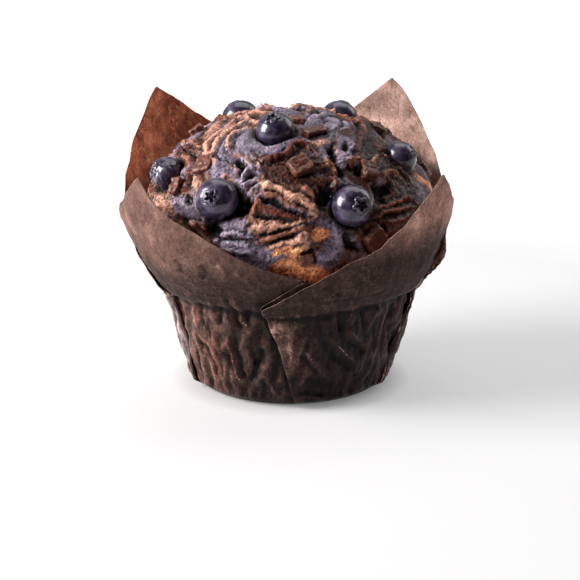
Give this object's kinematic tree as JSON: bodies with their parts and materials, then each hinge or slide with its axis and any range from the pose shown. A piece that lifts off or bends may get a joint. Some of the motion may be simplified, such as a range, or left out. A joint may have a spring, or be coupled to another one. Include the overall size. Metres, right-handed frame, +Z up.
{
  "type": "muffin",
  "caption": "Domed muffin with berries and chocolate chunks in its crown, baked in a pressed brown paper tulip case whose corners stand up as leaves.",
  "frame": {"origin": "centre of the flat base that the muffin stands on", "axes": "+Z up, -Y towards the front, +X to the right as seen from the front"},
  "size_m": [0.0957, 0.0909, 0.0845],
  "materials": {
    "paper": "brown greaseproof parchment, mottled",
    "crumb": "baked batter, swirled with berry juice and melted chocolate",
    "berry": "dark blue skin with a waxy bloom",
    "chocolate": "satin"
  },
  "bodies": {
    "root": {"paper_case": "paper", "muffin": "crumb", "berry_front_right": "berry", "berry_front_left": "berry", "berry_top_front": "berry", "berry_top_back_left": "berry", "berry_top_back_right": "berry", "berry_right": "berry", "berry_left": "berry", "berry_back": "berry", "berry_back_left": "berry", "berry_back_right": "berry", "berry_back_low": "berry", "chunk_front": "chocolate", "chunk_top_bar": "chocolate", "chunk_right": "chocolate", "chunk_low_right": "chocolate", "chunk_right_top": "chocolate", "chunk_left": "chocolate", "chunk_far_left": "chocolate", "chunk_left_top": "chocolate", "chunk_low_front": "chocolate", "chunk_top_small": "chocolate", "chunk_back_top": "chocolate", "chunk_back_left": "chocolate", "chunk_back_right": "chocolate", "chunk_back_side": "chocolate", "chunk_back_low": "chocolate"}
  },
  "joints": []
}
